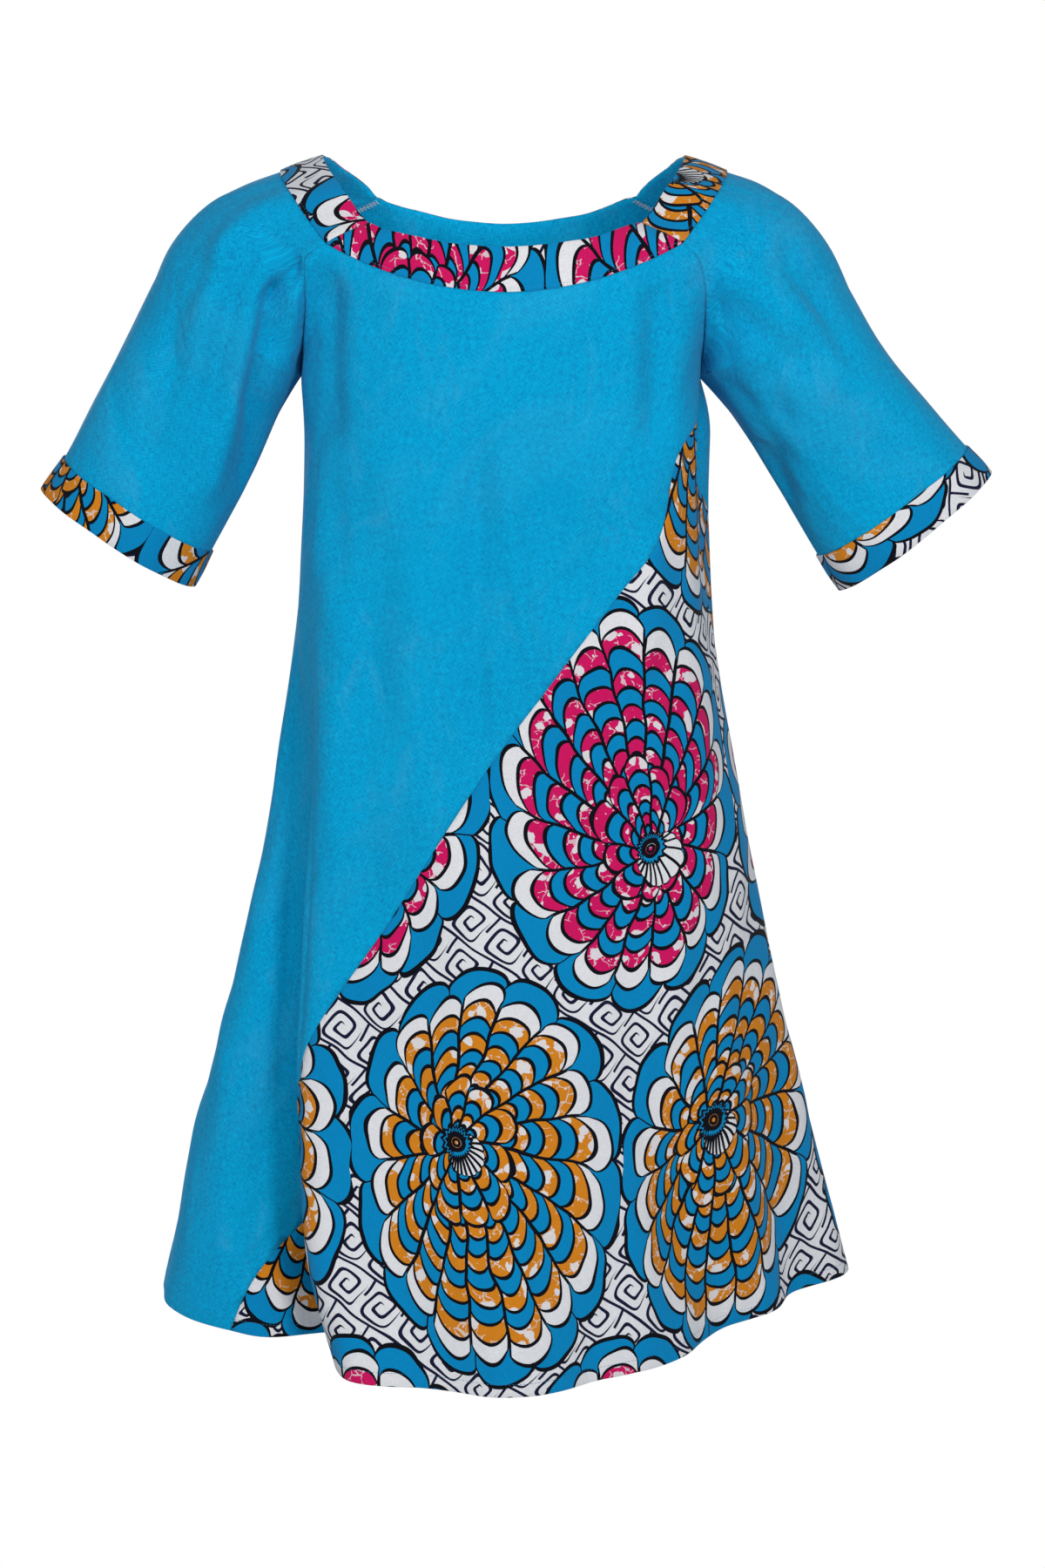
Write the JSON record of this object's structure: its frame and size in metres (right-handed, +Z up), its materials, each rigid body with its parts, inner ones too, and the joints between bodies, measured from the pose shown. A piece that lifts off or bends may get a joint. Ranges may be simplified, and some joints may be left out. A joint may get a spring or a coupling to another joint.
{
  "type": "ankara wax print dress",
  "caption": "Short A-line dress with raglan sleeves, wax print neckband, cuffs and diagonal print panels, hollow as when worn, for a clothed figure or a display",
  "frame": {"origin": "midway between the tops of the two shoulders, where a wearer's shoulders hold the dress", "axes": "+Z up, +X towards the wearer's left, -Y the front of the dress"},
  "size_m": [0.7705, 0.387, 0.9752],
  "materials": {
    "plain_cloth": "plain-woven slubby cotton, matte",
    "wax_print": "wax-printed cotton, smooth and matte"
  },
  "bodies": {
    "root": {"front_plain": "plain_cloth", "back_plain": "plain_cloth", "sleeve_right": "plain_cloth", "sleeve_left": "plain_cloth", "front_print": "wax_print", "back_print": "wax_print", "neckband_front": "wax_print", "neckband_back": "wax_print", "neckband_right": "wax_print", "neckband_left": "wax_print", "cuff_right": "wax_print", "cuff_left": "wax_print"}
  },
  "joints": []
}
